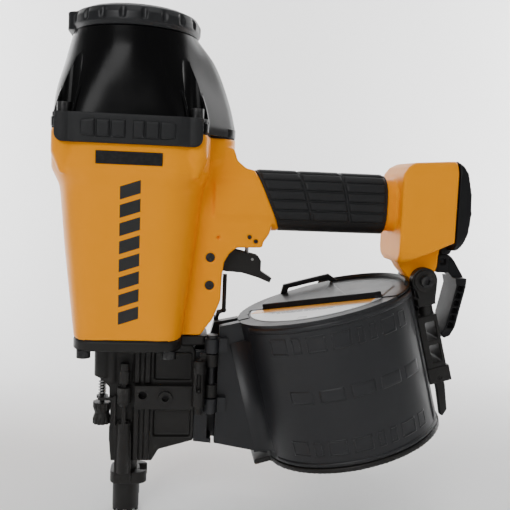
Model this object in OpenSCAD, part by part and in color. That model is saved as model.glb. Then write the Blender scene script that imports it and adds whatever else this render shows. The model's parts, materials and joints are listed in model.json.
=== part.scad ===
// Pneumatic coil nailer.
// Frame: origin at the tip of the contact foot, on the drive axis; +Z up the drive axis,
// +X towards the rear of the handle. The nail canister's door is on the -Y side.

/* [Head] */
// Height of the seam between housing and cylinder cap
seam_z = 297; // [296:0.5:298]
// Height of the housing's underside
base_z = 146; // [145.5:0.5:146.5]
// Radius of the cylinder bore in the sleeve
bore_r = 30.5; // [30:0.5:31]
// Stroke of the driver
drive_stroke = 104; // [90:1:105]

/* [Handle] */
// Height of the handle's centre line
grip_z = 251.5; // [251:0.5:252]
// Height of the rubber grip's section
grip_h = 46.5; // [46:0.5:47]
// Width of the rubber grip's section
grip_w = 40; // [39:0.5:42]

/* [Canister] */
// Tilt of the canister's axis, which is the collation angle of the nails
can_tilt = 15; // [15:1:15]
// Outer radius of the canister's wall
can_r = 70.5; // [70:0.5:71]
// Height of the canister's wall
can_h = 110; // [109:0.5:111]
// Thickness of the canister's wall
can_wall = 3; // [2.5:0.5:3.5]

/* [Hidden] */
$fn = 64;
FACET_FN = 28;               // for the children of a hull
gap = 0.4;                   // between parts that only face each other
run = 0.05;                  // radial running clearance of a pin in its hole

// Driving heights on the drive axis
gasket_t = 1;
cap_z = seam_z + gasket_t;
cap_top_z = 370;
flange_t = 7.5;
flange_z = base_z - gasket_t - flange_t;
nose_tip_z = 9;
foot_r = 10.6;
foot_top_z = 34;

// Plan of the head
lug_x = 46;
lug_y = 46;
lug_r = 9;
head_l = 115;
head_w = 112;
rear_lobe_x = 55;
rear_lobe_r = 22.5;
nose_screw_x = 31.5;
nose_screw_y = 34;

// Cylinder
sleeve_r = 34.5;
sleeve_z0 = base_z + 1;
piston_z = 278;              // underside of the piston at rest
piston_t = 14;
blade_r = 3.2;
blade_tip_z = nose_tip_z - 2 + drive_stroke;
bumper_h = 27;

// Handle
core_inset = 2.6;            // the rubber's thickness
grip_x0 = 93;
grip_x1 = 197;
grip_slant = 20;             // how far the grip's front end leans rearwards at the bottom
box_x0 = 206;
box_x1 = 250;
box_w = 56;
hook_z = 206;
inlet_z = 254;
inlet_x = 262.8;
inlet_r = 7.3;               // tapping size of a 3/8 inch taper pipe thread

// Canister frame
can_x = 182;
can_z = 66;
base_t = 4;
part_y = -6;                 // where the door meets the fixed half, at the neck
rear_y = -24;                // and at the rear
hinge_x = 64;
hinge_y = -19;
hinge_r = 3;
plunger_x = 54.5;
plunger_y = -25.5;
track_half = 4.4;            // half width of the nail track
neck_half = 13;
neck_x0 = 52.05;
neck_z0 = 58;
neck_z1 = 152;
chord_turn = -35.5;          // the top plate's straight lip, turned in plan
chord_v = -16.8;
plate_h = 6;                 // height of the top plate above the rim
door_drop = 0.8;             // the door's wall stays this far below the rim

// Door latch, in the canister's frame
latch_x = can_r + 6.5;
latch_z = 30;

// Support bracket pivot
eye_x = 231;
eye_z = 193;
eye_cx = (eye_x - can_x) * cos(can_tilt) + (eye_z - can_z) * sin(can_tilt);
eye_cz = (eye_z - can_z) * cos(can_tilt) - (eye_x - can_x) * sin(can_tilt);
lug_half = 11;

// Trigger
trig_x = 60.5;
trig_z = 206.5;
stem_x = 90;

STEM_PINS = [[90, 223.2], [95, 220]];

// Depth wheel
dial_x = -19.5;
dial_y = -9;

// ---------- shared shapes ----------

// A rounded rectangle, centred
module rounded_rect(l, w, r) {
  square([l - 2 * r, w], center = true);
  square([l, w - 2 * r], center = true);
  for (x = [-1, 1], y = [-1, 1])
    translate([x * (l / 2 - r), y * (w / 2 - r)]) circle(r);
}

// An outline drawn in X and Z, extruded from y0 to y1
module slab(y0, y1) {
  translate([0, y1, 0]) rotate([90, 0, 0]) linear_extrude(y1 - y0) children();
}

// A cylinder between two heights
module post(r, z0, z1) {
  translate([0, 0, z0]) cylinder(r = r, h = z1 - z0);
}

// A cylinder along Y between y0 and y1, at x, z
module cross_pin(x, z, r, y0, y1) {
  translate([x, y1, z]) rotate([90, 0, 0]) cylinder(r = r, h = y1 - y0);
}

// A cylinder along X between x0 and x1, at y, z
module long_pin(y, z, r, x0, x1) {
  translate([x0, y, z]) rotate([0, 90, 0]) cylinder(r = r, h = x1 - x0);
}

// A section drawn in Z and Y, extruded from x0 to x1, about height z
module along_x(x0, x1, z) {
  translate([x0, 0, z]) rotate([0, 90, 0]) linear_extrude(x1 - x0) children();
}

// The four corners of a rectangle
module four(x, y) {
  for (sx = [-1, 1], sy = [-1, 1]) translate([sx * x, sy * y, 0]) children();
}

// A socket head cap screw, head up, its seat at z = 0
module socket_screw(r, shank, head_r, head_h) {
  difference() {
    union() {
      cylinder(r = head_r, h = head_h);
      translate([0, 0, -shank]) cylinder(r = r, h = shank + 0.1);
    }
    translate([0, 0, head_h - 2.6]) cylinder(r = head_r * 0.52, h = 3, $fn = 6);
  }
}

// A torus about Z
module ring(big_r, wire_r, z) {
  translate([0, 0, z]) rotate_extrude() translate([big_r, 0]) circle(wire_r, $fn = 24);
}

// A helical spring about Z, swept by functions
SPRING_STEPS = 14;
SPRING_SIDES = 6;
function coil_point(r, wire, pitch, i, k) =
  let (a = 360 * i / SPRING_STEPS, b = 360 * k / SPRING_SIDES)
  [(r + wire * cos(b)) * cos(a), (r + wire * cos(b)) * sin(a),
   wire + pitch * i / SPRING_STEPS + wire * sin(b)];
module spring(r, wire, h, turns) {
  n = turns * SPRING_STEPS;
  pitch = (h - 2 * wire) / turns;
  last = n * SPRING_SIDES;
  polyhedron(
    points = [for (i = [0:n], k = [0:SPRING_SIDES - 1]) coil_point(r, wire, pitch, i, k)],
    faces = concat(
      [[for (k = [0:SPRING_SIDES - 1]) k]],
      [for (i = [0:n - 1], k = [0:SPRING_SIDES - 1])
        let (a = i * SPRING_SIDES, j = (k + 1) % SPRING_SIDES)
        [a + k, a + SPRING_SIDES + k, a + SPRING_SIDES + j, a + j]],
      [[for (k = [SPRING_SIDES - 1:-1:0]) last + k]]
    ));
}

// Places children in the canister's own frame: its base centre, Z along its axis
module in_canister() {
  translate([can_x, 0, can_z]) rotate([0, -can_tilt, 0]) children();
}

// ---------- head ----------

// Plan of the head at the seam
module head_outline(grow = 0) {
  rounded_rect(head_l + 2 * grow, head_w + 2 * grow, 30);
  four(lug_x, lug_y) circle(lug_r + grow);
  translate([rear_lobe_x, 0]) circle(rear_lobe_r + grow);
}

// The tapered barrel of the housing
module barrel() {
  hull() {
    translate([0, 0, base_z]) linear_extrude(1) rounded_rect(80, 84, 18, $fn = FACET_FN);
    translate([0, 0, 212]) linear_extrude(1) rounded_rect(96, 96, 28, $fn = FACET_FN);
    translate([0, 0, 264]) linear_extrude(1) rounded_rect(106, 104, 34, $fn = FACET_FN);
  }
}

// The rear web that joins the barrel to the handle and carries the trigger
WEB = [[20, base_z], [54.7, base_z], [64, 159], [69.5, 173.5], [70, 192], [71.2, 203], [75, 210],
  [80.5, 214.6], [99.5, 215.2], [100.8, 216.5], [101, 219.5], [105.4, 226], [108, 240], [92, 274.5],
  [86, 275.5], [79, 281], [76, 290], [20, 290]];

// Where the grip starts, side view: everything in front of it
GRIP_START = [[60, 300], [grip_x0, 300], [grip_x0, 275], [grip_x0 + grip_slant, 230],
  [grip_x0 + grip_slant, 200], [60, 200]];

// The box at the rear of the handle, side view
REAR_BOX = [[206, 211], [208, 206.5], [212, 207], [box_x1, 224.5], [box_x1, 288],
  [216, 285.5], [210, 282], [206, 276]];

// The lug under the rear box that the bracket bolt goes through
LUG = [[207, 225], [208, 211], [214, 201], [224, 190.5], [239, 190], [243.5, 204], [245, 226]];

module handle_core(grow) {
  along_x(70, 212, grip_z)
    rounded_rect(grip_h - 2 * core_inset + grow, grip_w - 2 * core_inset + grow, 14);
}

module housing() color("orange") difference() {
  union() {
    barrel();
    hull() {
      translate([0, 0, 258]) linear_extrude(1) rounded_rect(104, 102, 34, $fn = FACET_FN);
      translate([0, 0, 270]) linear_extrude(11) rounded_rect(head_l, head_w, 30, $fn = FACET_FN);
    }
    four(lug_x, lug_y) translate([0, 0, 266]) cylinder(r1 = 3, r2 = lug_r, h = 14.05);
    translate([0, 0, 280]) linear_extrude(seam_z - 280) head_outline();
    translate([rear_lobe_x, 0, 262]) cylinder(r1 = 12, r2 = rear_lobe_r, h = 18.05);
    slab(-18, 18) polygon(WEB);
    handle_core(0);
    intersection() {
      along_x(62, 118, grip_z) rounded_rect(grip_h + 0.6, grip_w + 0.6, 16.5);
      slab(-30, 30) polygon(GRIP_START);
    }
    intersection() {
      slab(-30, 30) polygon(REAR_BOX);
      along_x(200, 252, grip_z - 4) rounded_rect(84, box_w, 13);
    }
    slab(-lug_half, lug_half) polygon(LUG);
    cross_pin(eye_x, eye_z, 9, -lug_half, lug_half);
  }
  // cylinder bore and the air chamber round the sleeve
  post(sleeve_r + 0.2, base_z - 1, seam_z + 1);
  post(42, 225, seam_z + 1);
  // air reservoir in the handle, open at the rear
  along_x(36, 253, grip_z + 2) rounded_rect(26, 22, 9);
  along_x(214, 253, grip_z + 2) rounded_rect(50, 38, 9);
  // slot for the trigger and the contact rod
  translate([55, -8.5, base_z - 1]) cube([60, 17, 71]);
  translate([stem_x, 0, 0]) post(9.1, 210, 236);
  // holes for the cross pins with room for their heads, the bracket bolt and the screws
  for (z = [trig_z, 185]) {
    cross_pin(trig_x, z, 2, -20, 20);
    cross_pin(trig_x, z, 3.7, -20, -15.4);
    cross_pin(trig_x, z, 3.7, 15.4, 20);
  }
  cross_pin(66, 222, 1.4, -20, -14);
  for (p = STEM_PINS) cross_pin(p[0], p[1], 1.55, -20, -13.9);
  cross_pin(eye_x, eye_z, 4.1, -20, 20);
  four(lug_x, lug_y) post(2.6, 268, seam_z + 1);
  four(nose_screw_x, nose_screw_y) post(2.6, base_z - 1, 165);
  for (y = [-19, 19], z = [232, 276]) long_pin(y, z, 2.1, 236, 252);
}

// The domed cap, its three sections drawn from a flange to the deflector's seat
module cap_dome() {
  hull() {
    translate([0, 0, cap_z]) linear_extrude(6) rounded_rect(head_l - 0.4, head_w - 0.4, 30, $fn = 40);
    translate([rear_lobe_x, 0, cap_z]) cylinder(r = rear_lobe_r - 0.2, h = 6, $fn = 32);
    translate([0, 0, 326]) linear_extrude(1) rounded_rect(113, 108, 40, $fn = 40);
    translate([53, 0, 326]) cylinder(r = 18.5, h = 1, $fn = 32);
    translate([0, 0, 352]) cylinder(r = 51, h = 1, $fn = 48);
    translate([40, 0, 354]) cylinder(r = 20, h = 1, $fn = 32);
    translate([0, 0, cap_top_z - 1]) cylinder(r = 45.5, h = 1, $fn = 48);
  }
}

module cylinder_cap() color("dimgray") difference() {
  union() {
    cap_dome();
    translate([0, 0, cap_z]) linear_extrude(7) head_outline();
  }
  four(lug_x, lug_y) post(8.4, cap_z + 7, 380);
  for (x = [-1, 1], y = [-1, 1]) translate([x * lug_x - 6, y > 0 ? 46 : -62, cap_z + 7]) cube([12, 16, 40]);
  four(lug_x, lug_y) post(3.3, cap_z - 1, 380);
  post(42.5, cap_z - 1, 340);
  post(16, 339, 362);
  post(2.95, 361, 380);
  for (a = [0:60:300]) rotate([0, 0, a]) translate([26, 0, 0]) post(6, 339, 380);
}

module cap_gasket() color("black") translate([0, 0, seam_z]) linear_extrude(gasket_t) difference() {
  offset_outline();
  circle(43.2);
  four(lug_x, lug_y) circle(3.3);
}
module offset_outline() {
  rounded_rect(head_l - 1, head_w - 1, 30);
  four(lug_x, lug_y) circle(lug_r - 0.5);
  translate([rear_lobe_x, 0]) circle(rear_lobe_r - 0.5);
}

module cap_screws() color("dimgray")
  four(lug_x, lug_y) translate([0, 0, cap_z + 10.05]) socket_screw(2.55, 36, 5, 7);

// One wrap-round guard per side, clamped under two cap screws
module side_guards() color("black") for (s = [-1, 1]) difference() {
  union() {
    intersection() {
      translate([0, 0, 280]) linear_extrude(40) difference() {
        intersection() {
          head_outline(3.4);
          translate([-60, s > 0 ? 26 : -66]) square([120, 40]);
        }
        head_outline(0.2);
      }
      slab(-70, 70) translate([-0.5, 297.75]) rounded_rect(102, 20.5, 6);
    }
    for (x = [-1, 1]) {
      translate([x * lug_x, s * lug_y, 0]) post(8.2, cap_z + 7.05, cap_z + 10);
      translate([x * lug_x - 5, s > 0 ? 46 : -57.5, cap_z + 7.05]) cube([10, 11.5, 2.9]);
    }
  }
  four(lug_x, lug_y) post(3.3, 280, 320);
}

// A plain plate on each side, below the guard
module nameplates() color("black") for (s = [-1, 1])
  translate([0, s * (head_w / 2 + 0.3), 278]) cube([46, 0.6, 9], center = true);

module exhaust_deflector() color("dimgray") difference() {
  union() {
    translate([0, 0, cap_top_z + gap]) rotate_extrude()
      polygon([[0, 0], [46, 0], [48, 3.5], [48, 9], [45, 13.5], [38, 16.5], [0, 16.5]]);
    translate([0, 0, cap_top_z + gap]) intersection() {
      linear_extrude(13) translate([-36, 0]) rounded_rect(27, 36, 7);
      post(200, 0, 13);
    }
  }
  // chamber under the disc, the outlet at the front, and the central screw
  post(42, cap_top_z - 1, cap_top_z + 12);
  translate([-60, -12, cap_top_z + 3.5]) cube([30, 24, 7.5]);
  post(3.1, cap_top_z, 400);
  post(7, 384, 400);
}

module deflector_screw() color("dimgray")
  translate([0, 0, 384.05]) socket_screw(2.9, 22.5, 6, 2.8);

module cylinder_sleeve() color("silver") difference() {
  union() {
    post(sleeve_r, sleeve_z0, 299);
    post(41.8, 225.05, 229);
  }
  post(bore_r, sleeve_z0 - 1, 300);
  for (a = [0:30:330]) rotate([0, 0, a]) long_pin(0, 184, 2.2, 26, 40);
}

module sleeve_o_rings() color("black") difference() {
  ring(32.5, 1.3, 299.9);
  post(60, 290, 299.05);
}

module piston_bumper() color("darkgoldenrod") difference() {
  union() {
    post(bore_r - 0.3, base_z + 0.5, base_z + bumper_h - 8);
    translate([0, 0, base_z + bumper_h - 8]) cylinder(r1 = bore_r - 0.3, r2 = 20, h = 8);
  }
  post(8, base_z, 200);
}

module piston() color("silver") difference() {
  post(bore_r - 0.15, piston_z, piston_z + piston_t);
  ring(bore_r - 1.9, 1.9, piston_z + 7);
  post(blade_r + 4, piston_z + 8, piston_z + 20);
  post(blade_r + run, piston_z - 1, piston_z + 20);
}

module piston_ring() color("black") ring(bore_r - 1.9, 1.7, piston_z + 7);

module driver_blade() color("silver") {
  post(blade_r, blade_tip_z, piston_z + 10);
  post(blade_r + 3.6, piston_z + 8.1, piston_z + 12);
}

module head_valve() color("gainsboro") difference() {
  union() {
    post(42.4, 301.3, 311);
    post(15.9, 301.3, 330);
  }
  post(26, 300, 305);
  post(11, 304, 331);
}

module head_valve_spring() color("silver") translate([0, 0, 311.1]) spring(19, 1.3, 28.6, 4);

// ---------- nose ----------

// The nose casting, side view, from the flange to the guide tube
NOSE = [[-12, 44], [20, 44], [25, 53], [52, 60.5], [52, 132], [48, flange_z + 1],
  [-24, flange_z + 1], [-24, 112], [-14, 103], [-13.5, 60]];

module base_plan() {
  rounded_rect(80, 84, 17);
  translate([30, -16]) square([31, 32]);
}

module nose_body() color("dimgray") difference() {
  union() {
    translate([0, 0, flange_z]) linear_extrude(flange_t) base_plan();
    translate([4, 0, 0]) post(25, flange_z - 5, flange_z + 1);
    slab(-13, 13) polygon(NOSE);
    post(8.2, nose_tip_z, 46);
    // column of the spring's spindle, and upright ribs below and above the feed bar
    translate([dial_x, dial_y, 0]) post(6.5, 111, flange_z + 1);
    translate([-12, -9, 0]) post(5.2, 107, flange_z + 1);
    for (z = [[45, 86.5], [107, flange_z + 1]], x = [5.2, 13.5])
      translate([x, -15.4, z[0]]) cube([3.8, 3, z[1] - z[0]]);
  }
  // recesses beside the ribs
  translate([20.5, -14, 63.5]) cube([29, 4.4, 21.5]);
  translate([20.5, -14, 109]) cube([29, 3.4, 22]);
  // room for the door's top knuckle and its pin
  translate([hinge_x, hinge_y, 0]) post(6.6, 80, base_z + 3);
  // drive channel, with the nail track open to the rear
  post(3.6, 0, 200);
  translate([0, -track_half, 50]) cube([60, 2 * track_half, 72]);
  post(7, flange_z - 6, base_z + 1);
  // window in the front of the nose
  translate([-30, -3, 52]) cube([24, 6, 10]);
  four(nose_screw_x, nose_screw_y) post(2.8, flange_z - 1, base_z + 1);
  // room for the feed cylinder and its pawl on the far side
  long_pin(20, 97, 9.1, 17, 60);
  translate([24, 4, 86.5]) cube([30, 9.1, 21]);
  // bores for the bar's screws
  cross_pin(29.5, 97, 2.1, -20, -5);
  // room for the depth wheel and the bore of its spindle
  translate([dial_x, dial_y, 0]) post(7.6, 72, 92);
  translate([dial_x, dial_y, 0]) post(1.85, 100, 118);
  translate([dial_x, dial_y, 0]) post(3.4, 92, 108.2);
}

module base_gasket() color("black") translate([0, 0, base_z - gasket_t]) linear_extrude(gasket_t)
  difference() {
    rounded_rect(79, 83, 17);
    circle(33);
    four(nose_screw_x, nose_screw_y) circle(3);
  }

module nose_screws() color("dimgray")
  four(nose_screw_x, nose_screw_y) translate([0, 0, flange_z - 0.05]) mirror([0, 0, 1])
    socket_screw(2.5, 24, 5.2, 6);

// The bar on the near side of the nose, with its screw and its guide hole
module feed_bar() color("dimgray") difference() {
  union() {
    slab(-20, -13.05) polygon([[6, 87.5], [52, 87.5], [52, 106], [6, 106]]);
    cross_pin(29.5, 97, 5.2, -22.6, -19.9);
    cross_pin(29.5, 97, 2, -13.1, -6);
  }
  cross_pin(12, 98.6, 3.2, -30, -10);
  cross_pin(29.5, 97, 2.6, -24, -18);
}

module feed_cylinder() color("dimgray") difference() {
  long_pin(20, 97, 9, 21, 56);
  long_pin(20, 97, 6.6, 20, 53);
  translate([26, 5, 94]) cube([20, 9, 6]);
}

module feed_cylinder_plug() color("silver") difference() {
  union() {
    long_pin(20, 97, 9, 18, 20.9);
    long_pin(20, 97, 6.5, 20, 24);
  }
  long_pin(20, 97, 2.2, 22, 26);
}

module feed_piston() color("silver") {
  long_pin(20, 97, 6.5, 28, 33);
  long_pin(20, 97, 2, 24.6, 28.5);
  translate([28.5, 8.5, 95.5]) cube([4, 7, 3]);
}

module feed_pawl() color("gray") difference() {
  translate([25, 5.6, 88]) cube([9, 2.8, 18]);
  translate([24, 5.5, 94]) cube([4, 1.2, 6]);
}

module feed_spring() color("silver")
  translate([33.1, 20, 97]) rotate([0, 90, 0]) spring(4.8, 0.7, 19.8, 5);

// Upright tube that holds the sprung plunger of the door
module plunger_tube() color("dimgray") difference() {
  union() {
    translate([plunger_x, plunger_y, 0]) post(5, 92, 128);
    translate([52.05, -24, 98]) cube([5, 10.5, 30]);
    translate([plunger_x, plunger_y, 0]) post(5.4, 119, 123);
    // fixed knuckles of the door's hinge
    for (z = [[98, 108], [122, 132]]) {
      translate([hinge_x, hinge_y, 0]) post(5.2, z[0], z[1]);
      translate([55, -21.5, z[0]]) cube([8, 5, z[1] - z[0]]);
    }
  }
  translate([plunger_x, plunger_y, 0]) post(3.05, 91, 129);
  translate([hinge_x, hinge_y, 0]) post(hinge_r, 91, 134);
  translate([plunger_x - 1.5, -36, 104]) cube([3, 9, 14]);
}

module door_plunger() color("silver") {
  translate([plunger_x, plunger_y, 0]) post(3, 86, 124);
  translate([plunger_x - 0.9, plunger_y - 7.5, 105]) cube([1.8, 7, 1.8]);
}

// ---------- contact arm ----------

module contact_foot() color("dimgray") difference() {
  union() {
    post(foot_r, 0, foot_top_z);
    // collar that the arms are fixed to
    difference() {
      translate([2, 0, 25]) linear_extrude(9) rounded_rect(29, 26.5, 8);
      translate([0, 0, 20]) linear_extrude(20) translate([15.5, 0]) square([12, 13], center = true);
    }
  }
  post(8.4, -1, 60);
  // teeth round the rim, and the notch at the rear
  for (a = [0:45:315]) rotate([0, 0, a]) translate([5, -1.8, -1]) cube([20, 3.6, 3.4]);
  translate([5, -2.5, -1]) cube([20, 5, 13]);
}

// The arm that rises from the foot on the near side
module contact_arm() color("dimgray") difference() {
  union() {
    slab(-16.8, -13.3) polygon([[-8.7, 27], [4, 27], [4, 62], [2, 77], [-6.5, 77], [-8.7, 70]]);
    intersection() {
      translate([-2, -15.4, 0]) post(5.2, 36, 76);
      translate([-10, -30, 30]) cube([20, 16.6, 50]);
    }
    translate([-2, -19, 0]) post(2, 70, 117);
    translate([-2, -19, 0]) post(4, 108, 118);
    translate([-2, -19, 0]) post(3.4, 118, 123.5);
    // plate that the return spring bears on
    slab(-16.8, -13.3) polygon([[-10, 62], [-6.8, 62], [-6.8, 70], [-8.4, 74], [-8.4, 97], [-10, 97]]);
    translate([-22, -16.8, 93.6]) cube([13.6, 3.5, 2]);
    translate([-22, -16.8, 93.6]) cube([6.8, 10, 2]);
    translate([dial_x, dial_y, 0]) post(4.4, 93.6, 95.6);
  }
  translate([dial_x, dial_y, 0]) post(2.1, 90, 99);
}

module depth_sleeve() color("gray") translate([-2, -19, 0]) difference() {
  union() {
    post(5.3, 93, 105);
    translate([0, 0, 90.5]) cylinder(r1 = 4, r2 = 5.3, h = 2.6);
  }
  post(2.05, 90, 106);
}

// A straight round bar between two points
module bar_between(a, b, r) {
  d = b - a;
  translate(a) rotate([0, acos(d[2] / norm(d)), atan2(d[1], d[0])]) cylinder(r = r, h = norm(d));
}

// The linkage that carries the foot's travel up to the trigger, on the far side
ROD_PATH = [[68.5, 14.8, 154], [70, 8, 160], [73.5, 0, 163]];
module contact_rod() color("dimgray") {
  slab(13.3, 16.3) polygon([[-6, 26], [2, 26], [2, 111], [70.4, 111], [70.4, 156], [66.6, 156],
    [66.6, 117], [-6, 117]]);
  for (i = [0:1]) bar_between(ROD_PATH[i], ROD_PATH[i + 1], 1.7);
  translate(ROD_PATH[1]) sphere(2);
  translate(ROD_PATH[2]) sphere(2.1);
  translate([73.5, 0, 0]) post(1.7, 163, 192);
}

// Wheel that sets the driving depth, on its spindle at the front of the nose
module depth_dial() color("dimgray") translate([dial_x, dial_y, 0]) {
  difference() {
    translate([0, 0, 73.5]) rotate_extrude()
      polygon([[0, 0], [7, 0], [7, 4], [5.6, 8.5], [7, 13], [7, 17], [0, 17]]);
    for (a = [0:30:330]) rotate([0, 0, a]) translate([7.4, 0, 0]) post(1.1, 73, 91, $fn = 16);
  }
  post(1.8, 90, 117);
}

module contact_spring() color("silver") translate([dial_x, dial_y, 95.7]) spring(2.7, 0.5, 12.4, 5);

// ---------- trigger ----------

TRIGGER = [[57, 203], [57, 210.5], [64, 213.5], [77.5, 213], [98.5, 208], [101, 204], [101, 196],
  [110, 190.5], [108.5, 186.8], [99, 190.6], [86, 194.2], [73.5, 195], [66, 196]];

module trigger() color("dimgray") difference() {
  slab(-7.5, 7.5) polygon(TRIGGER);
  slab(-5.5, 5.5) polygon([[50, 199], [66, 199.5], [86, 197.5], [98, 194.8], [98, 230], [50, 230]]);
  cross_pin(trig_x, trig_z, 2.05, -10, 10);
  cross_pin(94, 205, 1.05, -10, 10);
  // window in the floor for the contact rod
  translate([68.5, -3.5, 188]) cube([10, 7, 14]);
}

module trip_lever() color("silver") difference() {
  slab(-4.5, 4.5) polygon([[70, 203.5], [96, 203.3], [96.4, 206.4], [70, 206.2]]);
  cross_pin(94, 205, 1.05, -10, 10);
}

module trip_lever_pin() color("silver") cross_pin(94, 205, 1, -7.4, 7.4);

module trigger_valve_body() color("black") translate([stem_x, 0, 0]) difference() {
  union() {
    post(9, 219, 235);
    post(7.5, 217, 219.1);
  }
  post(1.65, 210, 240);
  post(4.5, 223, 231.5);
}

module valve_stem() color("silver") translate([stem_x, 0, 0]) {
  post(1.6, 208, 231);
  post(4.2, 224.5, 226.5);
}

// Two headed cross pins, and the two short pins that lock the trigger valve in its bore
module housing_pins() color("dimgray") {
  for (z = [trig_z, 185]) {
    cross_pin(trig_x, z, 1.95, -17, 17);
    cross_pin(trig_x, z, 3.5, -17.2, -15.45);
    cross_pin(trig_x, z, 3.5, 15.45, 17.2);
  }
  for (p = STEM_PINS) cross_pin(p[0], p[1], 1.5, -18.4, -14);
}

// ---------- handle ----------

module grip_sleeve() color("black") difference() {
  along_x(grip_x0, grip_x1, grip_z) rounded_rect(grip_h, grip_w, 16.5);
  along_x(60, 220, grip_z) rounded_rect(grip_h - 2 * core_inset + 0.1, grip_w - 2 * core_inset + 0.1, 14);
  translate([0.1, 0, 0]) slab(-30, 30) polygon(GRIP_START);
}

module end_cap_gasket() color("black") difference() {
  along_x(box_x1 + 0.02, box_x1 + gasket_t, grip_z + 4) rounded_rect(62, box_w - 4, 13);
  along_x(box_x1 - 1, box_x1 + 3, grip_z + 2) rounded_rect(44, 36, 9);
  for (y = [-19, 19], z = [232, 276]) long_pin(y, z, 2.4, 240, 260);
}

END_CAP = [[251.1, 222], [246, 219.5], [246, 214], [254, 214], [257, 222], [260.5, 232.8], [262, 247.3],
  [261, 263.3], [258, 277.3], [255, 284], [251.1, 288]];

module end_cap() color("black") difference() {
  union() {
    intersection() {
      slab(-30, 30) polygon(END_CAP);
      translate([251.1, -30, 200]) cube([20, 60, 100]);
      along_x(245, 280, grip_z + 2) rounded_rect(72, box_w, 13);
    }
    slab(-9, 9) polygon(END_CAP);
    long_pin(0, inlet_z, 11, 252, inlet_x);
  }
  along_x(250, 253.5, grip_z + 2) rounded_rect(40, 30, 9);
  long_pin(0, inlet_z, inlet_r, 250, 280);
  for (y = [-19, 19], z = [232, 276]) {
    long_pin(y, z, 2.4, 240, 280);
    long_pin(y, z, 4.6, 255.4, 290);
  }
}

module end_cap_screws() color("dimgray") for (y = [-19, 19], z = [232, 276])
  translate([255.45, y, z]) rotate([0, 90, 0]) socket_screw(2.05, 18, 4.3, 4.2);

// Block under the end cap that the hook swivels on
module hook_bracket() color("dimgray") difference() {
  slab(-9, 9) polygon([[244, 199], [253.4, 199], [253.4, 213.95], [246, 213.95], [244, 211]]);
  long_pin(0, hook_z, 2.55, 240, 262);
  translate([246, -10, 205.5]) cube([5, 4, 5]);
}

// The hook swivels on a pin along X; its band is 30 mm wide and ribbed at the edges
HOOK = [[253.6, 213.5], [256, 213.5], [267.3, 196], [267, 189], [260, 155.5], [256, 148.4], [251.4, 146.6],
  [249, 149.5], [252.4, 156.5], [259.2, 189], [257.5, 196], [253.6, 200]];
module rafter_hook() color("dimgray") {
  difference() {
    union() {
      intersection() {
        slab(-15, 15) polygon(HOOK);
        translate([240, -20, 140]) cube([40, 40, 55.5]);
      }
      slab(-7, 7) polygon(HOOK);
    }
    // pockets between the rails, on both edges
    for (i = [0:5], s = [-1, 1]) translate([262.3 - 1.25 * i, s * 14, 187 - 6 * i]) rotate([0, 12, 0])
      cube([4.4, 9, 4.8], center = true);
    // corners at the top, so it can turn under the end cap
    difference() {
      translate([250, -20, 206]) cube([20, 40, 20]);
      long_pin(0, hook_z, 7.4, 240, 280);
    }
  }
  long_pin(0, hook_z, 2.5, 244.5, 254);
}

// ---------- canister ----------

// Plan of the part of the drum that swings open with the door
module door_side(grow = 0) {
  translate([-200, -200]) square([200, 200 + part_y + grow]);
  translate([-1, -200]) square([200, 200 + rear_y + grow]);
}

module drum_ring() {
  difference() {
    circle(can_r, $fn = 96);
    circle(can_r - can_wall, $fn = 96);
  }
}

// The near side of the top plate's straight lip
module lip_side(grow = 0) {
  rotate([0, 0, chord_turn]) translate([-200, chord_v - 200]) square([400, 200 + grow]);
}

// Plan of the door's lid
module lid_plan(grow = 0) {
  intersection() {
    lip_side(grow);
    union() {
      circle(61 + grow);
      intersection() {
        circle(can_r + grow);
        door_side(grow);
      }
    }
  }
}

// One wall of the feed neck, which ends inside the drum's wall
module neck_side(y0, y1, outline) {
  difference() {
    slab(y0, y1) polygon(outline);
    in_canister() translate([0, 0, -30]) cylinder(r = can_r - 1, h = 200, $fn = 96);
    in_canister() translate([-200, -100, -30]) cube([300, 200, 30.5]);
    in_canister() post(can_r + 0.3, can_h - 1, can_h + 60);
    long_pin(20, 97, 9.3, 40, 57);
  }
}

NECK = [[neck_x0, neck_z0 + 2], [86, neck_z0 - 3], [112, neck_z0 - 8], [95, 158], [66, neck_z1],
  [62.5, 136], [neck_x0, 134]];
NECK_DOOR = [[hinge_x + 4.5, neck_z0 + 0.5], [86, neck_z0 - 3], [112, neck_z0 - 8], [95, 158],
  [hinge_x + 6, neck_z1]];

module canister_frame() color("dimgray") {
  in_canister() linear_extrude(can_h) difference() {
    drum_ring();
    door_side(gap);
    translate([-100, -neck_half]) square([60, 2 * neck_half]);
  }
  neck_side(track_half, neck_half + 0.02, NECK);
  // short fixed wall on the door's side, and the floor that joins it to the far wall
  slab(-12.6, -track_half) polygon([[neck_x0, 61], [62.5, 59.5], [62.5, 132], [neck_x0, 132]]);
  slab(-12.6, neck_half) polygon([[neck_x0, 59.8], [66, 58.2], [66, 61.5], [neck_x0, 63]]);
}

// Base plate on the canister's lower rim, with a front tab and shallow dimples below
module canister_base() color("dimgray") in_canister() difference() {
  union() {
    post(can_r + 1.5, -base_t, -0.02);
    translate([-84, -14, -base_t]) cube([30, 28, base_t - 0.1]);
  }
  post(9.05, -20, 5);
  for (a = [30:60:330]) rotate([0, 0, a]) translate([42, 0, 0]) post(9, -20, -base_t + 1.4);
}

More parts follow.
